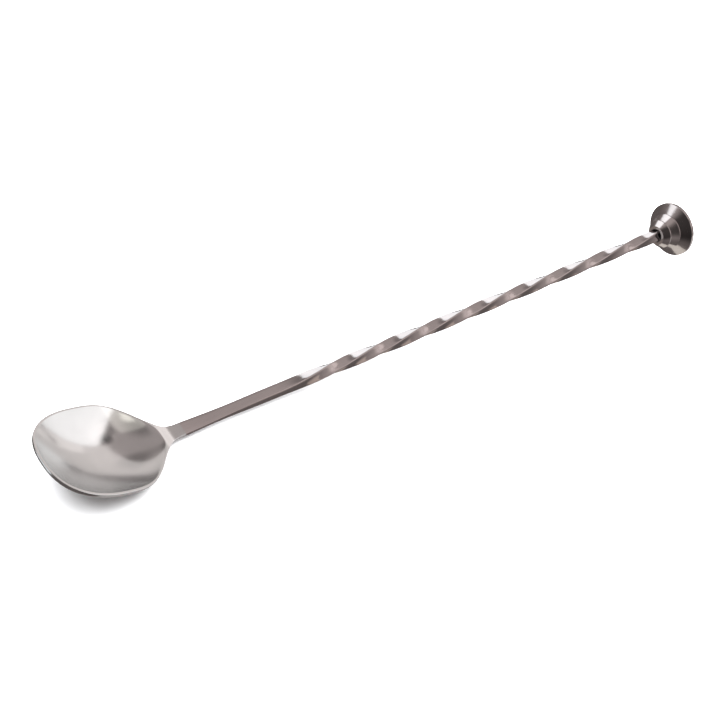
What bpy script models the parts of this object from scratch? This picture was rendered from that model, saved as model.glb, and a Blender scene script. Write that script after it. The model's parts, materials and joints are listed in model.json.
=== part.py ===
"""Bar spoon with a twisted stem and a screw-on muddler head.

It is made of three pieces: a bowl pressed from sheet with a short neck, a square bar that is rolled flat
where it meets the neck and twisted along the rest of its length, and a turned head that screws onto the
bar's threaded end.

The pieces are drawn in the spoon's own frame: X runs along the bar from the weld at the neck to the head,
Y lies across the bowl and Z points up out of it. The empty spoon_frame then lays the spoon down, so that
the bowl's underside and the head's rim touch z = 0 and the origin is under the middle of the whole spoon.
"""
import math

import bmesh
import bpy
from mathutils import Matrix, Vector

MM = 0.001
GAP = 0.3 * MM                      # clearance between pieces that touch or screw together

# Bowl and neck
BOWL_TIP = -55.2 * MM
BOWL_WIDEST = -31.6 * MM            # where the bowl is widest
BOWL_HALF_WIDTH = 15.55 * MM
TIP_FULLNESS = 2.4                  # 2 makes the tip's outline an ellipse, and more is blunter
NECK_START = -3.0 * MM              # the bowl's outline has become the stem's here
SHOULDER_SHAPE = 1.55               # above 1, the outline stays wide longer before it runs in to the neck
RIM_BEND = -4.3 * MM                # the rim starts to rise from the stem here
RIM_BEND_LENGTH = 2.0 * MM
RIM_SLOPE = 0.267
RIM_CURVE = 0.92                    # 1/m, how fast the rim's rise grows towards the tip
LIP_WIDTH = 0.65 * MM               # flat ground on the top of the rim
LIP_WIDTH_AT_NECK = 0.4 * MM
NECK_THICKNESS = 1.3 * MM
RIM_WALL = 2.0 * MM                 # steep wall all round the rim, below the lip
WALL_LEAN = 0.65                    # how far that wall has turned in where it meets the underside
BOWL_DEPTH = 7.95 * MM              # inside, below the rim
BOWL_DEEPEST = -31.3 * MM
BOWL_WALL = 1.2 * MM
BOWL_FULLNESS = 0.95                # 1 is a parabola across, and less is steeper at the rim
HOLLOW_END = -7.8 * MM              # the hollow runs out here, at the neck

# Square bar
BAR_SIDE = 3.5 * MM
BAR_CORNER = 0.45 * MM
NECK_HALF_WIDTH = 2.2 * MM           # where the bar is rolled flat and meets the bowl
NECK_FLARE_LENGTH = 24.0 * MM
ROLLED_START = 4.0 * MM             # from here the bar thickens towards its full square
ROLLED_END = 36.0 * MM
TWIST_START = 36.2 * MM             # the twist builds up between these two
TWIST_FULL = 54.3 * MM
TWIST_RATE = math.radians(4.58) / MM
TWIST_RATE_AT_HEAD = math.radians(4.39) / MM
BAR_END = 218.8 * MM                # square shoulder, inside the head's mouth
TENON_RADIUS = 1.45 * MM            # M3 thread
TENON_END = 224.0 * MM
TENON_CHAMFER = 0.4 * MM

# Muddler head
HEAD_START = 216.4 * MM
HEAD_END = 226.0 * MM
MOUTH_RADIUS = 2.6 * MM            # round mouth that swallows the square bar's end
MOUTH_CHAMFER = 0.15 * MM
FACE_RADIUS = 3.5 * MM
TIER_1 = (218.5 * MM, 5.1 * MM)     # each tier's ridge: place along X, radius
TIER_2 = (221.9 * MM, 6.5 * MM)
GROOVE_DEPTH = 0.5 * MM
LAND = 0.45 * MM                     # short straight land on each ridge
DISC_RADIUS = 9.7 * MM
DISC_EDGE = 1.3 * MM
DISC_CHAMFER = 0.12 * MM

# Fineness
BOWL_STATIONS = 22                  # on each side of the widest place
BOWL_COLUMNS = 14
CORNER_POINTS = 4
TWIST_STATIONS = 74
STEM_STATIONS = 14
HEAD_SEGMENTS = 48


def smooth(t):
    t = min(max(t, 0.0), 1.0)
    return t * t * (3.0 - 2.0 * t)


def mix(a, b, t):
    return a + (b - a) * t


def stem_half_width(x):
    flare = 1.0 - smooth((x - NECK_START) / NECK_FLARE_LENGTH)
    return mix(BAR_SIDE / 2, NECK_HALF_WIDTH, flare)


def half_width(x, inset):
    """Half the bowl's width at x, for its outline (inset 0) or for a line that runs inset inside it."""
    if x < BOWL_WIDEST:
        t = min((BOWL_WIDEST - x) / (BOWL_WIDEST - BOWL_TIP - inset), 1.0)
        return (BOWL_HALF_WIDTH - inset) * (1.0 - t ** TIP_FULLNESS) ** (1.0 / TIP_FULLNESS)
    t = min((x - BOWL_WIDEST) / (NECK_START - BOWL_WIDEST), 1.0)
    shoulder = 0.5 * (1.0 + math.cos(math.pi * t ** SHOULDER_SHAPE))
    return mix(stem_half_width(x), BOWL_HALF_WIDTH, shoulder) - inset


def towards_neck(x):
    """0 as far as the bowl's widest place and 1 from the end of the hollow on."""
    return smooth((x - BOWL_WIDEST) / (HOLLOW_END - BOWL_WIDEST))


def rim_height(x):
    """Height of the rim's flat top. It leaves the neck in a short bend and rises towards the tip."""
    run = max(RIM_BEND - x, 0.0)
    if run < RIM_BEND_LENGTH:
        rise = run * run / (2 * RIM_BEND_LENGTH)
    else:
        rise = run - RIM_BEND_LENGTH / 2
    return NECK_THICKNESS / 2 + RIM_SLOPE * rise + RIM_CURVE * run * run


def hollow(x, tip, end):
    """Depth along the bowl's middle line: 0 at its ends and 1 at the deepest place, on one smooth cubic."""
    if not tip < x < end:
        return 0.0
    before, after = BOWL_DEEPEST - tip, end - BOWL_DEEPEST
    third = 1.0 / (1.0 / before - 1.0 / after)
    return (x - tip) * (end - x) * (BOWL_DEEPEST + third - x) / (before * after * third)


def bowl_section(x, inner_x):
    """Points of the bowl's cross-section, once round. The tip's hollow starts inside it, so it has its own x."""
    rim = rim_height(x)
    wall = mix(RIM_WALL, NECK_THICKNESS, towards_neck(x))
    lip = mix(LIP_WIDTH, LIP_WIDTH_AT_NECK, towards_neck(x))
    outer = half_width(x, 0.0)
    inner = max(half_width(inner_x, lip), 0.2 * outer)
    lean = min(WALL_LEAN / 3 * wall * (1.0 - towards_neck(x)), 0.2 * outer)
    inside = hollow(inner_x, BOWL_TIP + LIP_WIDTH, HOLLOW_END)
    outside = hollow(x, BOWL_TIP, HOLLOW_END + 1.2 * MM)
    spread = [math.sin(math.pi / 2 * (2.0 * i / BOWL_COLUMNS - 1.0)) for i in range(BOWL_COLUMNS + 1)]
    points = []
    for v in spread:
        drop = BOWL_DEPTH * (inside * max(1.0 - v * v, 0.0)) ** BOWL_FULLNESS
        points.append(Vector((inner_x, v * inner, rim_height(inner_x) - drop)))
    side = [(outer, rim), (outer - lean / 8, rim - wall / 2)]
    points += [Vector((x, y, z)) for y, z in side]
    for v in reversed(spread):
        drop = (BOWL_DEPTH + BOWL_WALL - RIM_WALL) * (outside * max(1.0 - v * v, 0.0)) ** BOWL_FULLNESS
        points.append(Vector((x, v * (outer - lean), rim - wall - drop)))
    points += [Vector((x, -y, z)) for y, z in reversed(side)]
    return points


def skin(bm, rings):
    """Join closed rings of vertices, one after the other, with quads."""
    count = len(rings[0])
    for near, far in zip(rings, rings[1:]):
        for i in range(count):
            j = (i + 1) % count
            bm.faces.new((near[i], near[j], far[j], far[i]))


def finish_mesh(bm, name):
    bmesh.ops.remove_doubles(bm, verts=bm.verts, dist=0.0001 * MM)
    bmesh.ops.recalc_face_normals(bm, faces=bm.faces)
    mesh = bpy.data.meshes.new(name)
    bm.to_mesh(mesh)
    bm.free()
    mesh.shade_smooth()
    mesh.set_sharp_from_angle(angle=math.radians(25))
    return mesh


def make_bowl():
    """The bowl and neck: cross-sections from the tip to the weld, closed by a face at each end."""
    bm = bmesh.new()
    inner_tip = BOWL_TIP + LIP_WIDTH
    places = []
    for i in range(BOWL_STATIONS):
        reach = math.cos(math.pi / 2 * max(i / BOWL_STATIONS, 0.02))
        places.append((mix(BOWL_WIDEST, BOWL_TIP, reach), mix(BOWL_WIDEST, inner_tip, reach)))
    straight = [mix(BOWL_WIDEST, HOLLOW_END, i / BOWL_STATIONS) for i in range(BOWL_STATIONS)]
    straight += [mix(HOLLOW_END, 0.0, i / 6) for i in range(7)]
    places += [(x, x) for x in straight]
    rings = [[bm.verts.new(p) for p in bowl_section(*place)] for place in places]
    skin(bm, rings)
    bm.faces.new(rings[0])
    bm.faces.new(rings[-1])
    return finish_mesh(bm, "spoon_bowl")


def bar_section(x, half_width, half_height, turn):
    """Rounded rectangle across the bar at x, turned about X."""
    radius = min(BAR_CORNER, half_height * 0.5)
    points = []
    for corner, (sy, sz) in enumerate(((1, 1), (-1, 1), (-1, -1), (1, -1))):
        for i in range(CORNER_POINTS):
            angle = math.pi / 2 * (corner + i / (CORNER_POINTS - 1))
            y = sy * (half_width - radius) + radius * math.cos(angle)
            z = sz * (half_height - radius) + radius * math.sin(angle)
            points.append(Matrix.Rotation(turn, 3, "X") @ Vector((x, y, z)))
    return points


def twist(x):
    """Angle the bar has turned through at x. The twist is left-handed, so it counts downwards."""
    building = min(max(x - TWIST_START, 0.0), TWIST_FULL - TWIST_START)
    steady = max(x - TWIST_FULL, 0.0)
    slowing = (TWIST_RATE - TWIST_RATE_AT_HEAD) / (BAR_END - TWIST_FULL)
    angle = TWIST_RATE * building ** 2 / (2 * (TWIST_FULL - TWIST_START))
    return -(angle + TWIST_RATE * steady - slowing * steady ** 2 / 2)


def make_shaft():
    """The square bar with its rolled and twisted lengths, and the threaded tenon that holds the head."""
    bm = bmesh.new()
    stem = [GAP + (TWIST_START - GAP) * i / STEM_STATIONS for i in range(STEM_STATIONS)]
    twisted = [TWIST_START + (BAR_END - TWIST_START) * i / TWIST_STATIONS for i in range(TWIST_STATIONS + 1)]
    rings = []
    for x in stem + twisted:
        rolled = smooth((x - ROLLED_START) / (ROLLED_END - ROLLED_START))
        half_height = mix(NECK_THICKNESS / 2, BAR_SIDE / 2, rolled)
        rings.append([bm.verts.new(p) for p in bar_section(x, stem_half_width(x), half_height, twist(x))])
    steps = 4 * CORNER_POINTS
    for x, radius in ((BAR_END, TENON_RADIUS), (TENON_END - TENON_CHAMFER, TENON_RADIUS),
                      (TENON_END, TENON_RADIUS - TENON_CHAMFER)):
        ring = []
        for i in range(steps):
            angle = twist(BAR_END) + 2 * math.pi * (i + 0.5) / steps
            ring.append(bm.verts.new((x, radius * math.cos(angle), radius * math.sin(angle))))
        rings.append(ring)
    skin(bm, rings)
    bm.faces.new(rings[0])
    bm.faces.new(rings[-1])
    return finish_mesh(bm, "twisted_shaft")


def head_profile():
    """Outline of the turned head as (x, radius), from the bottom of its tapped hole round to its flat end."""
    tapped = TENON_RADIUS + GAP
    floor = BAR_END + GAP
    return [
        (TENON_END + GAP, 0.0), (TENON_END + GAP, tapped), (floor, tapped), (floor, MOUTH_RADIUS),
        (HEAD_START + MOUTH_CHAMFER, MOUTH_RADIUS), (HEAD_START, MOUTH_RADIUS + MOUTH_CHAMFER),
        (HEAD_START, FACE_RADIUS),
        TIER_1, (TIER_1[0] + LAND, TIER_1[1]), (TIER_1[0] + LAND, TIER_1[1] - GROOVE_DEPTH),
        TIER_2, (TIER_2[0] + LAND, TIER_2[1]), (TIER_2[0] + LAND, TIER_2[1] - GROOVE_DEPTH),
        (HEAD_END - DISC_EDGE, DISC_RADIUS), (HEAD_END - DISC_CHAMFER, DISC_RADIUS),
        (HEAD_END, DISC_RADIUS - DISC_CHAMFER), (HEAD_END, 0.0),
    ]


def make_head():
    """The muddler head, turned about the bar's axis."""
    bm = bmesh.new()
    verts = [bm.verts.new((x, 0.0, radius)) for x, radius in head_profile()]
    edges = [bm.edges.new(pair) for pair in zip(verts, verts[1:])]
    bmesh.ops.spin(bm, geom=verts + edges, cent=(0, 0, 0), axis=(1, 0, 0), angle=2 * math.pi,
                   steps=HEAD_SEGMENTS, use_merge=True)
    return finish_mesh(bm, "muddler_head")


def steel(name, color, roughness):
    material = bpy.data.materials.new(name)
    material.use_nodes = True
    shader = material.node_tree.nodes["Principled BSDF"]
    shader.inputs["Base Color"].default_value = (*color, 1.0)
    shader.inputs["Metallic"].default_value = 1.0
    shader.inputs["Roughness"].default_value = roughness
    return material


def add_piece(name, mesh, material, frame):
    mesh.materials.append(material)
    piece = bpy.data.objects.new(name, mesh)
    bpy.context.collection.objects.link(piece)
    piece.parent = frame
    return piece


def lay_down(frame, bowl, head):
    """Tip the frame until bowl and head touch one floor, then put the origin under the middle."""
    heel = min((v.co for v in head.data.vertices), key=lambda p: (round(p.z, 6), p.x))
    slope = max((v.co.z - heel.z) / (v.co.x - heel.x) for v in bowl.data.vertices)
    turn = Matrix.Rotation(math.atan(slope), 4, "Y")
    corners = [turn @ v.co for piece in (bowl, head) for v in piece.data.vertices]
    low_x = min(p.x for p in corners)
    high_x = max(p.x for p in corners)
    low_z = min(p.z for p in corners)
    frame.matrix_world = Matrix.Translation((-(low_x + high_x) / 2, 0.0, -low_z)) @ turn


def main():
    for old in list(bpy.data.objects):
        bpy.data.objects.remove(old, do_unlink=True)
    frame = bpy.data.objects.new("spoon_frame", None)
    bpy.context.collection.objects.link(frame)
    bowl = add_piece("spoon_bowl", make_bowl(), steel("mirror_steel", (0.66, 0.65, 0.63), 0.08), frame)
    add_piece("twisted_shaft", make_shaft(), steel("drawn_steel", (0.58, 0.55, 0.53), 0.22), frame)
    head = add_piece("muddler_head", make_head(), steel("turned_steel", (0.55, 0.52, 0.50), 0.2), frame)
    lay_down(frame, bowl, head)


main()
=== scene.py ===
"""Looks of the bar spoon: a polished bowl, a drawn and twisted square bar, and a turned muddler head.

Each piece is modelled in the spoon's own frame (X along the bar from the weld to the head, Y across the bowl,
Z up out of it) and its object carries that frame, so that the grain can follow the bar and the lathe's axis.
"""
import json
import math

import bmesh
import bpy
from mathutils import Matrix, Vector


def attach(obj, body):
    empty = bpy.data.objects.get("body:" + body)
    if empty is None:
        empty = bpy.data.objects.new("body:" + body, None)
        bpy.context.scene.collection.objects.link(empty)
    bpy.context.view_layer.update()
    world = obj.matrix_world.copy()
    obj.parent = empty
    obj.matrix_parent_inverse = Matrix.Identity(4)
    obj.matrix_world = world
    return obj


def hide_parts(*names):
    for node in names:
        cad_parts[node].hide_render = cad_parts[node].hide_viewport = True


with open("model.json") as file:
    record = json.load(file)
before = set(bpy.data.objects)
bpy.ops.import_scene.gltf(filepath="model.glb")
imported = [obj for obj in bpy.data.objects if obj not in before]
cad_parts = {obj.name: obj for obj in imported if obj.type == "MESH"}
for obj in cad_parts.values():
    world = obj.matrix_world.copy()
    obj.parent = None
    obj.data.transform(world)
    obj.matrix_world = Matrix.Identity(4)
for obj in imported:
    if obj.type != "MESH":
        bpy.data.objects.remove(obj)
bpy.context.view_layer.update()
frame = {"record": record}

MM = 0.001

# Bowl and neck
BOWL_TIP = -55.2 * MM
BOWL_WIDEST = -31.6 * MM
BOWL_HALF_WIDTH = 15.55 * MM
TIP_FULLNESS = 2.4                  # 2 is an ellipse, and more is blunter
NECK_START = -3.0 * MM
SHOULDER_SHAPE = 1.55
RIM_BEND = -4.3 * MM
RIM_BEND_LENGTH = 2.0 * MM
RIM_SLOPE = 0.267
RIM_CURVE = 0.92
LIP_WIDTH = 0.65 * MM
LIP_WIDTH_AT_NECK = 0.4 * MM
NECK_THICKNESS = 1.3 * MM
RIM_WALL = 2.0 * MM
BOWL_DEPTH = 7.95 * MM
BOWL_DEEPEST = -31.3 * MM
BOWL_WALL = 1.2 * MM
BOWL_FULLNESS = 0.95                # 1 is a parabola across, and less is steeper at the rim
HOLLOW_END = -7.8 * MM
HOLLOW_EDGE = 0.06 * MM             # softness of the hollow's edge at the lip
HOLLOW_EDGE_AT_NECK = 0.5 * MM
SOFTER_START = HOLLOW_END - 14.0 * MM   # where that edge starts to soften towards the neck
SOFTER_LENGTH = 12.0 * MM
UNDERSIDE_END = HOLLOW_END + 1.2 * MM
OUTLINE_REACH = 3.0 * MM            # how far to each side the outline is evened out
EDGE_ROUND = 0.14 * MM              # rounding of the rim's upper outer edge
WALL_LEAN = 0.65                    # how far the rim's wall has turned in where it meets the underside

# Square bar
BAR_SIDE = 3.5 * MM
BAR_CORNER = 0.45 * MM
NECK_HALF_WIDTH = 2.2 * MM
NECK_FLARE_LENGTH = 24.0 * MM
ROLLED_START = 4.0 * MM
ROLLED_END = 36.0 * MM
TWIST_START = 36.2 * MM
TWIST_FULL = 54.3 * MM
TWIST_RATE = math.radians(4.58) / MM
TWIST_RATE_AT_HEAD = math.radians(4.39) / MM
BAR_END = 218.8 * MM
TENON_RADIUS = 1.45 * MM
TENON_END = 224.0 * MM
THREAD_PITCH = 0.5 * MM
THREAD_DEPTH = 0.28 * MM
THREAD_FADE = 2 * THREAD_PITCH      # where the thread grows at each end of the tenon
TENON_CHAMFER = 0.3 * MM

# Muddler head
HEAD_START = 216.4 * MM
HEAD_END = 226.0 * MM
MOUTH_RADIUS = 2.45 * MM            # part.py has 2.6, with more room round the bar
HOLE_CLEARANCE = 0.05 * MM
HOLE_FLOOR_GAP = 0.3 * MM
FACE_RADIUS = 3.5 * MM
TIER_1 = (218.5 * MM, 5.1 * MM)     # where a tier's land begins, and its radius there
TIER_2 = (221.9 * MM, 6.5 * MM)
GROOVE_DEPTH = 0.5 * MM
LAND = 0.45 * MM
DISC_RADIUS = 9.7 * MM
DISC_EDGE = 1.3 * MM
FINE_ROUND = 0.05 * MM
MOUTH_ROUND = 0.12 * MM
FLAT_END_ROUND = 0.18 * MM

# Fineness
TIP_STATIONS = 100                  # from the tip to the bowl's widest place
NECK_STATIONS = 110                 # from there to the hollow's end
STEM_STATIONS = 20                  # from there to the weld
BOWL_COLUMNS = 64
LIP_SHARES = (0.06, 0.3, 0.6)       # places across the lip, from the hollow to the outline
SLOPE_STEP = 0.02 * MM
ARC_STEPS = 4
WALL_STEPS = 7
BAR_STATION = 0.5 * MM
PITCH_STATIONS = 8                  # on each turn of the thread
CORNER_STEPS = 6
FLAT_STEPS = 4
HEAD_SEGMENTS = 144
MERGE_DISTANCE = 0.0002 * MM

# Colours
BOWL_STEEL = (0.68, 0.705, 0.71)
BAR_STEEL = (0.72, 0.70, 0.70)
# Bar steel lightened for a painted sheen by the weld; the bar's steps bring it back to plain bar steel within
# 12 mm
BAR_STEEL_WITH_PAINTED_SHEEN = [1.1 * c for c in BAR_STEEL]
PAPER = (0.9, 0.9, 0.9, 1.0)
DIM = (1.0, 0.85, 0.82)
WHITE = (0.98, 1.0, 1.02)
DAYLIGHT = (1.03, 1.0, 0.995)
WARM = (1.0, 0.95, 0.935)
SAND = (1.0, 0.92, 0.89)
CREAM = (1.0, 0.93, 0.84)
BROWN = (1.0, 0.8, 0.68)

# Painted highlight and painted shade in a piece's colour along the spoon: from, to, and the factor from there
# on
# On the neck, a painted highlight brightens the bend, and painted shade darkens the flat beyond it towards the
# weld
NECK_PAINTED_HIGHLIGHT_AND_SHADE = [(-8.8 * MM, -7.6 * MM, 1.32), (-5.2 * MM, -4.6 * MM, 0.82), (-4.6 * MM, 0.0, 0.93)]
# On the bar, a painted sheen: brighter at the weld and fading over the first 12 mm
BAR_PAINTED_SHEEN = [(0.0, 12.0 * MM, 0.91)]


def spoon_frame():
    """The spoon's own frame, found from the head's flat end, whose middle is on the bar's axis."""
    face = frame["record"]["mounts"][0]
    along = Vector(face["axis"]).normalized()
    across = Vector((0.0, 1.0, 0.0))
    turn = Matrix((along, across, along.cross(across))).transposed().to_4x4()
    return Matrix.Translation(Vector(face["pos_m"]) - HEAD_END * along) @ turn


SPOON = spoon_frame()


def smooth(t):
    t = min(max(t, 0.0), 1.0)
    return t * t * (3.0 - 2.0 * t)


def mix(a, b, t):
    return a + (b - a) * t


def stem_half_width(x):
    flare = 1.0 - smooth((x - NECK_START) / NECK_FLARE_LENGTH)
    return mix(BAR_SIDE / 2, NECK_HALF_WIDTH, flare)


def bowl_half_width(x, inset):
    """Half the bowl's width at x, for its outline (inset 0) or for a line that runs inset inside it."""
    if x < BOWL_WIDEST:
        t = min((BOWL_WIDEST - x) / (BOWL_WIDEST - BOWL_TIP - inset), 1.0)
        return (BOWL_HALF_WIDTH - inset) * (1.0 - t ** TIP_FULLNESS) ** (1.0 / TIP_FULLNESS)
    t = min((x - BOWL_WIDEST) / (NECK_START - BOWL_WIDEST), 1.0)
    shoulder = 0.5 * (1.0 + math.cos(math.pi * t ** SHOULDER_SHAPE))
    return mix(stem_half_width(x), BOWL_HALF_WIDTH, shoulder) - inset


def lip_width(x):
    return mix(LIP_WIDTH, LIP_WIDTH_AT_NECK, smooth((x - BOWL_WIDEST) / (HOLLOW_END - BOWL_WIDEST)))


def half_width(x, inset):
    """bowl_half_width evened out along the bowl, so that reflections run on without a kink."""
    reach = min(OUTLINE_REACH, 0.4 * (x - BOWL_TIP - inset), -x)
    if reach <= 0.0:
        return bowl_half_width(x, inset)
    weights = (1, 2, 3, 4, 3, 2, 1)
    middle = len(weights) // 2
    parts = [w * bowl_half_width(x + (i - middle) / middle * reach, inset) for i, w in enumerate(weights)]
    return sum(parts) / sum(weights)


def rim_height(x):
    run = max(RIM_BEND - x, 0.0)
    if run < RIM_BEND_LENGTH:
        rise = run * run / (2 * RIM_BEND_LENGTH)
    else:
        rise = run - RIM_BEND_LENGTH / 2
    return NECK_THICKNESS / 2 + RIM_SLOPE * rise + RIM_CURVE * run * run


def edge_height(x):
    """Height of the wall all round the rim, which is the neck's thickness at the neck."""
    return mix(RIM_WALL, NECK_THICKNESS, smooth((x - BOWL_WIDEST) / (HOLLOW_END - BOWL_WIDEST)))


def hollow(x, tip, end):
    """Depth along the bowl's middle line: 0 at its ends and 1 at the deepest place, on one smooth cubic."""
    if not tip < x < end:
        return 0.0
    before, after = BOWL_DEEPEST - tip, end - BOWL_DEEPEST
    third = 1.0 / (1.0 / before - 1.0 / after)
    return (x - tip) * (end - x) * (BOWL_DEEPEST + third - x) / (before * after * third)


def inside_height(x, v):
    """Height of the hollow at x, where v goes from -1 to 1 across it."""
    inward = max(1.0 - v * v, 0.0)
    drop = BOWL_DEPTH * (hollow(x, BOWL_TIP + LIP_WIDTH, HOLLOW_END) * inward) ** BOWL_FULLNESS
    edge = mix(HOLLOW_EDGE, HOLLOW_EDGE_AT_NECK, smooth((x - SOFTER_START) / SOFTER_LENGTH))
    return rim_height(x) - (math.sqrt(drop * drop + edge * edge) - edge)


def outside_height(x, v):
    """Height of the underside at x, where v goes from -1 to 1 across it."""
    fall = hollow(x, BOWL_TIP, UNDERSIDE_END) * max(1.0 - v * v, 0.0)
    drop = (BOWL_DEPTH + BOWL_WALL - RIM_WALL) * fall ** BOWL_FULLNESS
    return rim_height(x) - edge_height(x) - drop


def skin(bm, rings):
    """Join closed rings of vertices, one after the other, with quads."""
    for near, far in zip(rings, rings[1:]):
        for i in range(len(near)):
            j = (i + 1) % len(near)
            bm.faces.new((near[i], near[j], far[j], far[i]))


def unrolled(bm):
    """The layer that holds each vertex's place for the grain: along, across and through the steel."""
    return bm.verts.layers.float_vector.new("unrolled")


def add_piece(name, bm, material, body, node, sharp):
    """Finish a piece and hang it on its body. Edges that turn by more than sharp degrees stay sharp."""
    bmesh.ops.remove_doubles(bm, verts=bm.verts, dist=MERGE_DISTANCE)
    bmesh.ops.dissolve_degenerate(bm, edges=bm.edges, dist=MERGE_DISTANCE)
    bmesh.ops.recalc_face_normals(bm, faces=bm.faces)
    mesh = bpy.data.meshes.new(name)
    bm.to_mesh(mesh)
    bm.free()
    mesh.shade_smooth()
    mesh.set_sharp_from_angle(angle=math.radians(sharp))
    mesh.materials.append(material)
    piece = bpy.data.objects.new(name, mesh)
    bpy.context.scene.collection.objects.link(piece)
    piece.matrix_world = SPOON
    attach(piece, body)
    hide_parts(node)
    return piece


def bowl_stations():
    """Pairs of places along the bowl, for its outline and for the hollow's, which starts inside the tip."""
    inner_tip = BOWL_TIP + LIP_WIDTH
    pairs = []
    for i in range(TIP_STATIONS):
        reach = math.cos(math.pi / 2 * i / TIP_STATIONS)
        outer_x = BOWL_WIDEST - (BOWL_WIDEST - BOWL_TIP) * reach
        inner_x = BOWL_WIDEST - (BOWL_WIDEST - inner_tip) * reach
        pairs.append((outer_x, inner_x))
    for i in range(NECK_STATIONS):
        x = mix(BOWL_WIDEST, HOLLOW_END, i / NECK_STATIONS)
        pairs.append((x, x))
    for i in range(STEM_STATIONS + 1):
        x = mix(HOLLOW_END, 0.0, i / STEM_STATIONS)
        pairs.append((x, x))
    return pairs


def outward(x):
    """Unit vector square to the outline at x, pointing out of the bowl."""
    if x <= BOWL_TIP:
        return Vector((-1.0, 0.0))
    if x >= -SLOPE_STEP / 2:
        return Vector((0.0, 1.0))
    step = min(SLOPE_STEP, 0.4 * (x - BOWL_TIP))
    run = half_width(x + step, 0.0) - half_width(x - step, 0.0)
    return Vector((-run, 2 * step)).normalized()


def edge_profile(x):
    """The rim's wall as (how far in, how far down) from its top outer line, from the lip to the underside."""
    at_neck = smooth((x - HOLLOW_END) / (NECK_START - HOLLOW_END))
    height = edge_height(x)
    foot = EDGE_ROUND * at_neck
    lean = WALL_LEAN / 3 * height * (1.0 - at_neck)
    profile = []
    for i in range(ARC_STEPS + 1):
        angle = math.pi / 2 * i / ARC_STEPS
        profile.append((EDGE_ROUND * (1.0 - math.sin(angle)), EDGE_ROUND * (1.0 - math.cos(angle))))
    for i in range(1, WALL_STEPS + 1):
        share = i / WALL_STEPS
        profile.append((lean * share ** 3, mix(EDGE_ROUND, height - foot, share)))
    for i in range(1, ARC_STEPS + 1):
        angle = math.pi / 2 * i / ARC_STEPS
        profile.append((lean + foot * (1.0 - math.cos(angle)), height - foot * (1.0 - math.sin(angle))))
    return profile


def bowl_ring(outer_x, inner_x):
    """One loop round the bowl's wall: the hollow, the lip, the rim's edge, the underside, and back."""
    inner_half = max(half_width(inner_x, lip_width(inner_x)), 0.0)
    outer_half = half_width(outer_x, 0.0)
    slope = outward(outer_x)
    span = [-math.cos(math.pi * i / BOWL_COLUMNS) for i in range(BOWL_COLUMNS + 1)]
    ring = [(inner_x, v * inner_half, inside_height(inner_x, v)) for v in span]
    side = []
    for share in LIP_SHARES:
        x = mix(inner_x, outer_x, share)
        side.append((x, mix(inner_half, outer_half, share), rim_height(x)))
    for inset, drop in edge_profile(outer_x):
        x, half = outer_x - slope.x * inset, outer_half - slope.y * inset
        side.append((x, max(half, 0.0), rim_height(outer_x) - drop))
    under_x, under_half = side[-1][0], side[-1][1]
    under = [(under_x, -v * under_half, outside_height(outer_x, v)) for v in span[1:-1]]
    return ring + side + under + [(x, -y, z) for x, y, z in reversed(side)]


def make_bowl(material):
    bm = bmesh.new()
    layer = unrolled(bm)
    rings = [[bm.verts.new(p) for p in bowl_ring(*pair)] for pair in bowl_stations()]
    for vert in bm.verts:
        vert[layer] = vert.co
    skin(bm, rings)
    bm.faces.new(rings[-1])
    return add_piece("bowl", bm, material, "spoon", "spoon_bowl", 50)


def bar_section(x, half_width, half_height, radius, turn):
    """Rounded rectangle across the bar at x, turned about X."""
    spin = Matrix.Rotation(turn, 3, "X")
    corners = ((1, 1), (-1, 1), (-1, -1), (1, -1))
    points = []
    for n, (sy, sz) in enumerate(corners):
        for i in range(CORNER_STEPS + 1):
            angle = math.pi / 2 * (n + i / CORNER_STEPS)
            y = sy * (half_width - radius) + radius * math.cos(angle)
            z = sz * (half_height - radius) + radius * math.sin(angle)
            points.append(Vector((x, y, z)))
        ty, tz = corners[(n + 1) % 4]
        start = points[-1]
        angle = math.pi / 2 * (n + 1)
        end = Vector((x, ty * (half_width - radius) + radius * math.cos(angle),
                      tz * (half_height - radius) + radius * math.sin(angle)))
        points += [start.lerp(end, i / FLAT_STEPS) for i in range(1, FLAT_STEPS)]
    return [spin @ p for p in points]


def twist(x):
    """Angle the bar has turned through at x. The twist is left-handed, so it counts downwards."""
    building = min(max(x - TWIST_START, 0.0), TWIST_FULL - TWIST_START)
    steady = max(x - TWIST_FULL, 0.0)
    slowing = (TWIST_RATE - TWIST_RATE_AT_HEAD) / (BAR_END - TWIST_FULL)
    angle = TWIST_RATE * building ** 2 / (2 * (TWIST_FULL - TWIST_START))
    return -(angle + TWIST_RATE * steady - slowing * steady ** 2 / 2)


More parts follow.
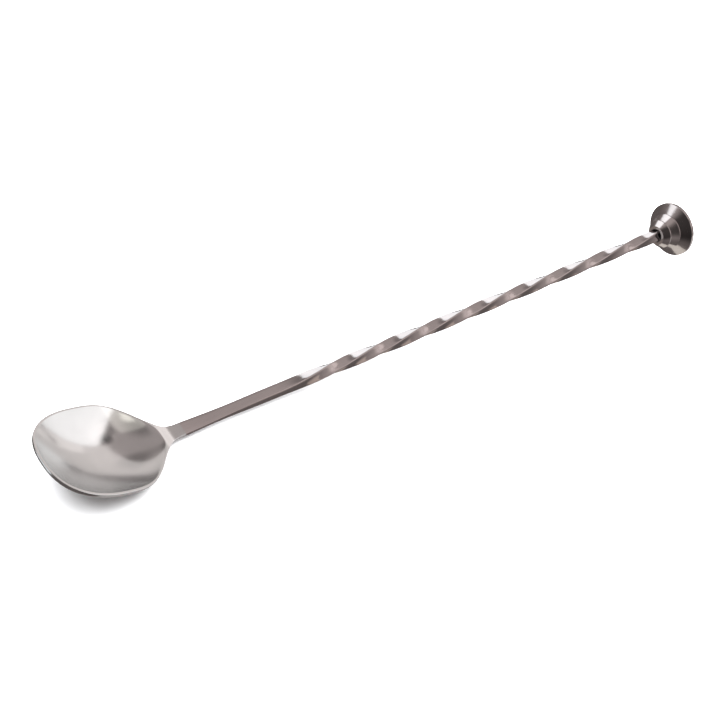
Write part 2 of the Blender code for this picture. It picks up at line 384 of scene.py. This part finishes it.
def make_shaft(material):
    """The bar, and the screw thread on its end, in one mesh."""
    bm = bmesh.new()
    layer = unrolled(bm)
    rings = []
    count = round(BAR_END / BAR_STATION)
    for i in range(count + 1):
        x = BAR_END * i / count
        rolled = smooth((x - ROLLED_START) / (ROLLED_END - ROLLED_START))
        half_height = mix(NECK_THICKNESS / 2, BAR_SIDE / 2, rolled)
        radius = mix(EDGE_ROUND, BAR_CORNER, smooth(x / ROLLED_END))
        ring = bar_section(x, stem_half_width(x), half_height, radius, twist(x))
        rings.append([bm.verts.new(point) for point in ring])
    steps = len(rings[0])
    stations = round((TENON_END - BAR_END) / (THREAD_PITCH / PITCH_STATIONS))
    for i in range(stations + 1):
        x = mix(BAR_END, TENON_END, i / stations)
        fade = min(smooth((x - BAR_END) / THREAD_FADE), smooth((TENON_END - x) / THREAD_FADE))
        chamfer = max(x - (TENON_END - TENON_CHAMFER), 0.0)
        ring = []
        for k in range(steps):
            way_round = (k + 0.5) / steps
            angle = twist(BAR_END) + 2 * math.pi * way_round
            phase = (x / THREAD_PITCH - way_round) % 1.0
            depth = THREAD_DEPTH * fade * (1.0 - abs(2.0 * phase - 1.0))
            r = TENON_RADIUS - chamfer - depth
            ring.append(bm.verts.new((x, r * math.cos(angle), r * math.sin(angle))))
        rings.append(ring)
    for vert in bm.verts:
        vert[layer] = Matrix.Rotation(-twist(vert.co.x), 3, "X") @ vert.co
    skin(bm, rings)
    bm.faces.new(rings[0])
    bm.faces.new(rings[-1])
    return add_piece("shaft", bm, material, "spoon", "twisted_shaft", 40)


def rounded(points):
    """The outline with each corner that has a radius turned into an arc. A point is (x, y, radius)."""
    out = []
    for i, (x, y, radius) in enumerate(points):
        here = Vector((x, y))
        if radius == 0.0 or i in (0, len(points) - 1):
            out.append(here)
            continue
        back = (Vector(points[i - 1][:2]) - here).normalized()
        ahead = (Vector(points[i + 1][:2]) - here).normalized()
        half = back.angle(ahead) / 2
        reach = radius / math.tan(half)
        centre = here + (back + ahead).normalized() * (radius / math.sin(half))
        start, end = here + back * reach - centre, here + ahead * reach - centre
        for k in range(ARC_STEPS + 1):
            arm = start.lerp(end, k / ARC_STEPS).normalized() * radius
            out.append(centre + arm)
    return out


def head_profile():
    """Outline of the turned head as (x, radius), from the bottom of its tapped hole round to its flat end."""
    tapped = TENON_RADIUS + HOLE_CLEARANCE
    recess = BAR_END + HOLE_FLOOR_GAP
    bottom = TENON_END + HOLE_FLOOR_GAP
    outline = [(bottom, 0.0, 0.0), (bottom, tapped, 0.0), (recess, tapped, FINE_ROUND)]
    outline += [(recess, MOUTH_RADIUS, 0.0), (HEAD_START, MOUTH_RADIUS, MOUTH_ROUND)]
    outline += [(HEAD_START, FACE_RADIUS, MOUTH_ROUND)]
    for x, radius in (TIER_1, TIER_2):
        groove = radius - GROOVE_DEPTH
        outline += [(x, radius, FINE_ROUND), (x + LAND, radius, FINE_ROUND), (x + LAND, groove, FINE_ROUND)]
    outline += [(HEAD_END - DISC_EDGE, DISC_RADIUS, MOUTH_ROUND), (HEAD_END, DISC_RADIUS, FLAT_END_ROUND)]
    return rounded(outline + [(HEAD_END, 0.0, 0.0)])


def make_head(material):
    bm = bmesh.new()
    verts = [bm.verts.new((p.x, 0.0, p.y)) for p in head_profile()]
    edges = [bm.edges.new(pair) for pair in zip(verts, verts[1:])]
    bmesh.ops.spin(bm, geom=verts + edges, cent=(0, 0, 0), axis=(1, 0, 0), angle=2 * math.pi,
                   steps=HEAD_SEGMENTS, use_merge=True)
    layer = unrolled(bm)
    for vert in bm.verts:
        vert[layer] = (vert.co.x, vert.co.yz.length, 0.0)
    return add_piece("head", bm, material, "head", "muddler_head", 30)


class Graph:
    """Short names for the nodes that the materials and the world are made of."""

    def __init__(self, tree):
        self.nodes = tree.nodes
        self.links = tree.links

    def feed(self, socket, value):
        if isinstance(value, bpy.types.NodeSocket):
            self.links.new(value, socket)
        else:
            socket.default_value = value

    def math(self, operation, a, b):
        node = self.nodes.new("ShaderNodeMath")
        node.operation = operation
        self.feed(node.inputs[0], a)
        self.feed(node.inputs[1], b)
        return node.outputs["Value"]

    def vector(self, operation, a, b, output="Vector"):
        node = self.nodes.new("ShaderNodeVectorMath")
        node.operation = operation
        self.feed(node.inputs[0], a)
        self.feed(node.inputs[1], b)
        return node.outputs[output]

    def ramp(self, value, low, high, to_low, to_high):
        node = self.nodes.new("ShaderNodeMapRange")
        node.interpolation_type = "SMOOTHSTEP"
        for name, number in (("Value", value), ("From Min", low), ("From Max", high),
                             ("To Min", to_low), ("To Max", to_high)):
            self.feed(node.inputs[name], number)
        return node.outputs["Result"]

    def noise(self, place, scale, detail=2.0):
        """Noise from 0 to 1. scale is its cycles in a millimetre along, across and through."""
        node = self.nodes.new("ShaderNodeTexNoise")
        self.feed(node.inputs["Vector"], self.vector("MULTIPLY", place, [n / MM for n in scale]))
        self.feed(node.inputs["Scale"], 1.0)
        self.feed(node.inputs["Detail"], detail)
        return node.outputs["Fac"]

    def scratches(self, place, scale, width):
        """1 on fine lines between long cells, and 0 elsewhere."""
        node = self.nodes.new("ShaderNodeTexVoronoi")
        node.feature = "DISTANCE_TO_EDGE"
        self.feed(node.inputs["Vector"], self.vector("MULTIPLY", place, [n / MM for n in scale]))
        self.feed(node.inputs["Scale"], 1.0)
        return self.ramp(node.outputs["Distance"], 0.0, width, 1.0, 0.0)


def steel(name, color, roughness, grain, mottle, depth, painted_light_steps=()):
    """Bare steel. grain and mottle are cycles in a millimetre along, across and through the piece, and depth
    is the grain's height. Each of the steps is a stretch along the spoon, from and to, over which the colour is
    painted brighter, as a painted highlight, or darker, as painted shade, by a factor, and it keeps that factor
    from there on.
    """
    material = bpy.data.materials.new(name)
    material.use_nodes = True
    graph = Graph(material.node_tree)
    attribute = graph.nodes.new("ShaderNodeAttribute")
    attribute.attribute_name = "unrolled"
    place = attribute.outputs["Vector"]
    fine = graph.noise(place, grain, 4.0)
    broad = graph.noise(place, mottle, 2.0)
    marks = graph.scratches(place, [0.35 * n for n in grain], 0.03)
    spread = graph.math("MULTIPLY", graph.math("ADD", fine, broad), 0.35)
    spread = graph.math("ADD", spread, graph.math("MULTIPLY", marks, 0.25))
    spread = graph.math("ADD", spread, 0.65)
    # Random mottle in the tone, times the painted highlight and painted shade of each step along the spoon
    mottle_and_painted_light = graph.ramp(broad, 0.0, 1.0, 0.94, 1.04)
    along = graph.vector("DOT_PRODUCT", place, (1.0, 0.0, 0.0), "Value")
    for start, end, factor in painted_light_steps:
        mottle_and_painted_light = graph.math("MULTIPLY", mottle_and_painted_light, graph.ramp(along, start, end, 1.0, factor))
    shader = graph.nodes["Principled BSDF"]
    shader.inputs["Metallic"].default_value = 1.0
    graph.feed(shader.inputs["Roughness"], graph.math("MULTIPLY", spread, roughness))
    graph.feed(shader.inputs["Base Color"], graph.vector("MULTIPLY", color, mottle_and_painted_light))
    bump = graph.nodes.new("ShaderNodeBump")
    bump.inputs["Strength"].default_value = 1.0
    bump.inputs["Distance"].default_value = depth
    graph.feed(bump.inputs["Height"], fine)
    graph.feed(shader.inputs["Normal"], bump.outputs["Normal"])
    return material


def make_floor():
    """White paper, which the steel doesn't reflect and which casts no shadow."""
    bm = bmesh.new()
    side = 4.0
    corners = [bm.verts.new((x * side, y * side, 0.0)) for x, y in ((-1, -1), (1, -1), (1, 1), (-1, 1))]
    bm.faces.new(corners)
    mesh = bpy.data.meshes.new("floor")
    bm.to_mesh(mesh)
    bm.free()
    material = bpy.data.materials.new("floor_paper")
    material.use_nodes = True
    shader = material.node_tree.nodes["Principled BSDF"]
    shader.inputs["Base Color"].default_value = PAPER
    shader.inputs["Roughness"].default_value = 0.9
    mesh.materials.append(material)
    floor = bpy.data.objects.new("floor", mesh)
    bpy.context.scene.collection.objects.link(floor)
    floor.visible_glossy = False
    floor.visible_shadow = False
    return floor


def make_camera():
    """A short telephoto above and before the bowl's tip, turned about its own axis, so that the spoon runs up
    to the right. Its place and directions are in the spoon's own frame."""
    place = Vector((-332.9, -206.05, 483.5)) * MM
    ahead = Vector((0.60959, 0.30935, -0.72986))
    up = Vector((0.30068, 0.76168, 0.57396))
    right = ahead.cross(up).normalized()
    turn = Matrix((right, right.cross(ahead), -ahead)).transposed().to_4x4()
    data = bpy.data.cameras.new("camera")
    data.sensor_width = 36.0
    data.lens = 104.8
    data.clip_start = 0.01
    data.clip_end = 20.0
    camera = bpy.data.objects.new("camera", data)
    bpy.context.scene.collection.objects.link(camera)
    camera.matrix_world = SPOON @ Matrix.Translation(place) @ turn
    bpy.context.scene.camera = camera


def toward(azimuth, elevation):
    """Unit vector towards a place in the studio, in degrees, with azimuth 0 along the spoon to its head."""
    a, e = math.radians(azimuth), math.radians(elevation)
    return Vector((math.cos(e) * math.cos(a), math.cos(e) * math.sin(a), math.sin(e)))


def make_world():
    """Dim warm surroundings, lighter overhead, and darkest on the side that the camera looks from.

    The smaller spots stand for dark and light places in the photo's room, which the steel reflects.
    """
    world = bpy.data.worlds.new("studio")
    bpy.context.scene.world = world
    world.use_nodes = True
    graph = Graph(world.node_tree)
    place = graph.nodes.new("ShaderNodeTexCoord").outputs["Generated"]

    def spot(value, direction, inner, outer, factor):
        """Multiply the value by factor round a direction, fading out between two angles from it."""
        side = graph.vector("DOT_PRODUCT", place, direction, "Value")
        edge, core = math.cos(math.radians(outer)), math.cos(math.radians(inner))
        return graph.math("MULTIPLY", value, graph.ramp(side, edge, core, 1.0, factor))

    value = graph.ramp(graph.vector("DOT_PRODUCT", place, (0.0, 0.0, 1.0), "Value"), -0.5, 0.85, 0.13, 0.42)
    value = spot(value, toward(-150, 30), 35, 63, 0.13)
    value = spot(value, toward(-24, 48), 5, 10, 0.1)
    value = spot(value, toward(-44, 48), 5, 9, 0.4)
    value = spot(value, toward(-30, 43), 0, 20, 1.7)
    value = spot(value, toward(60, 40), 8, 24, 0.5)
    background = graph.nodes["Background"]
    background.inputs["Color"].default_value = (*DIM, 1.0)
    graph.links.new(value, background.inputs["Strength"])


def light_up(name, pieces, size_x, size_y, radiance, color, turn, shape="RECTANGLE"):
    """A soft box with an even face, which lights some pieces only and which the camera doesn't see."""
    data = bpy.data.lights.new(name, "AREA")
    data.shape = shape
    data.size, data.size_y = size_x, size_y
    data.energy = radiance * math.pi * size_x * size_y * (math.pi / 4 if shape == "DISK" else 1.0)
    data.color = color
    light = bpy.data.objects.new(name, data)
    bpy.context.scene.collection.objects.link(light)
    light.matrix_world = turn
    light.visible_camera = False
    lit = bpy.data.collections.new(name)
    for piece in pieces:
        lit.objects.link(piece)
    light.light_linking.receiver_collection = lit
    return light


def soft_box(name, pieces, centre, facing, left, right, low, high, radiance, color, distance=2.0):
    """An upright soft box. Its edges lie at these angles from the centre, in degrees, and left and right
    count from facing, the azimuth that its face is square to. distance is in metres."""
    out = toward(facing, 0)
    across = Vector((-out.y, out.x, 0.0))
    x0, x1, z0, z1 = [distance * math.tan(math.radians(angle)) for angle in (left, right, low, high)]
    middle = centre + out * distance + across * (x0 + x1) / 2 + Vector((0.0, 0.0, (z0 + z1) / 2))
    turn = Matrix.Translation(middle) @ Matrix((across, Vector((0.0, 0.0, 1.0)), out)).transposed().to_4x4()
    light_up(name, pieces, x1 - x0, z1 - z0, radiance, color, turn)


def low_box(name, pieces, centre, x0, x1, y0, y1, radiance, color):
    """The bright table top as the steel sees it, a metre below the centre and facing up. Its edges are metres
    from the centre along X and Y."""
    middle = centre + Vector(((x0 + x1) / 2, (y0 + y1) / 2, -1.0))
    turn = Matrix.Translation(middle) @ Matrix.Rotation(math.pi, 4, "X")
    light_up(name, pieces, x1 - x0, y1 - y0, radiance, color, turn)


def aimed(direction, centre, distance):
    """Placement for a light that faces the centre from this direction."""
    turn = direction.to_track_quat("Z", "Y").to_matrix().to_4x4()
    return Matrix.Translation(centre + direction * distance) @ turn


def make_lights(bowl, shaft, head, floor):
    """Soft boxes placed so that each piece reflects what it does in the photo. Each lights one piece only."""
    at_bowl = SPOON @ Vector((BOWL_DEEPEST, 0.0, 0.0))
    at_bar = SPOON @ Vector((0.5 * BAR_END, 0.0, 0.0))
    at_head = SPOON @ Vector((HEAD_END, 0.0, 0.0))
    soft_box("window", [bowl], at_bowl, -30, -62, 21, -20, 41.8, 1.0, DAYLIGHT)
    soft_box("wall", [bowl], at_bowl, 12, -20, 76, -20, 51.0, 0.5, SAND)
    soft_box("wall_edge", [bowl], at_bowl, -4, -5, 6, -20, 24, 0.3, SAND)
    soft_box("cream_box", [bowl], at_bowl, -96, -7, 8, 30, 47, 1.0, CREAM)
    soft_box("left_box", [bowl], at_bowl, -84, -27, 24, 22, 65, 0.35, CREAM)
    soft_box("bar_box", [shaft], at_bar, 115, -79, -40, -50, 57.5, 1.05, WHITE)
    soft_box("head_box", [head], at_head, 108, -26, 30, 5, 48, 1.05, WHITE)
    # These four are for other views, where the steel would otherwise look dark.
    soft_box("bar_back_left", [shaft], at_bar, -135, -44, 44, -15, 50, 0.5, WARM)
    soft_box("bar_back_right", [shaft], at_bar, 135, -44, 44, -15, 50, 0.5, WARM)
    soft_box("bowl_back", [bowl], at_bowl, 180, -58, 58, -10, 64, 0.5, WARM)
    soft_box("head_back", [head], at_head, 0, -60, 60, -45, 5, 0.5, WARM)
    # These two fill the world's small dark spots, for the bar.
    light_up("high_box", [shaft], 0.5, 0.5, 0.75, DIM, aimed(toward(-24, 48), at_bar, 2.0), "DISK")
    light_up("high_box_2", [shaft], 0.5, 0.5, 0.42, DIM, aimed(toward(-44, 48), at_bar, 2.0), "DISK")
    low_box("bowl_table", [bowl], at_bowl, 0.3, 1.5, -0.9, 0.5, 0.35, WARM)
    low_box("tip_table", [bowl], at_bowl, -1.8, -0.5, 0.1, 1.0, 1.1, WHITE)
    low_box("head_table", [head], at_head, -0.6, 0.45, -1.0, -0.24, 0.6, CREAM)
    low_box("bar_table", [shaft], at_bar, 0.6, 1.3, -0.25, 0.35, 0.25, BROWN)
    soft_box("bar_side", [shaft], at_bar, -64, -10, 13, -24, 4, 0.3, BROWN)
    # The photo shows no shadow beside the head, so only the bowl and the bar cast one on the paper.
    paper_light = light_up("paper_light", [floor], 3.6, 3.6, 8.5, WHITE, aimed(toward(110, 72), at_bowl, 2.2))
    shading = bpy.data.collections.new("shading")
    for piece in (bowl, shaft):
        shading.objects.link(piece)
    paper_light.light_linking.blocker_collection = shading
    low_box("face_table", [head], at_head, -1.6, -0.7, 0.1, 0.8, 0.1, BROWN)


bowl = make_bowl(steel("mirror_steel", BOWL_STEEL, 0.19, (0.25, 3.0, 3.0), (0.12, 0.12, 0.12), 0.0006 * MM,
                       NECK_PAINTED_HIGHLIGHT_AND_SHADE))
shaft = make_shaft(steel("drawn_steel", BAR_STEEL_WITH_PAINTED_SHEEN, 0.15, (0.15, 4.0, 4.0), (0.1, 0.3, 0.3), 0.002 * MM,
                         BAR_PAINTED_SHEEN))
head = make_head(steel("turned_steel", BAR_STEEL, 0.16, (6.0, 6.0, 0.0), (0.5, 0.5, 0.5), 0.002 * MM))
floor = make_floor()
make_world()
make_camera()
make_lights(bowl, shaft, head, floor)
bpy.context.scene.view_settings.view_transform = "Standard"
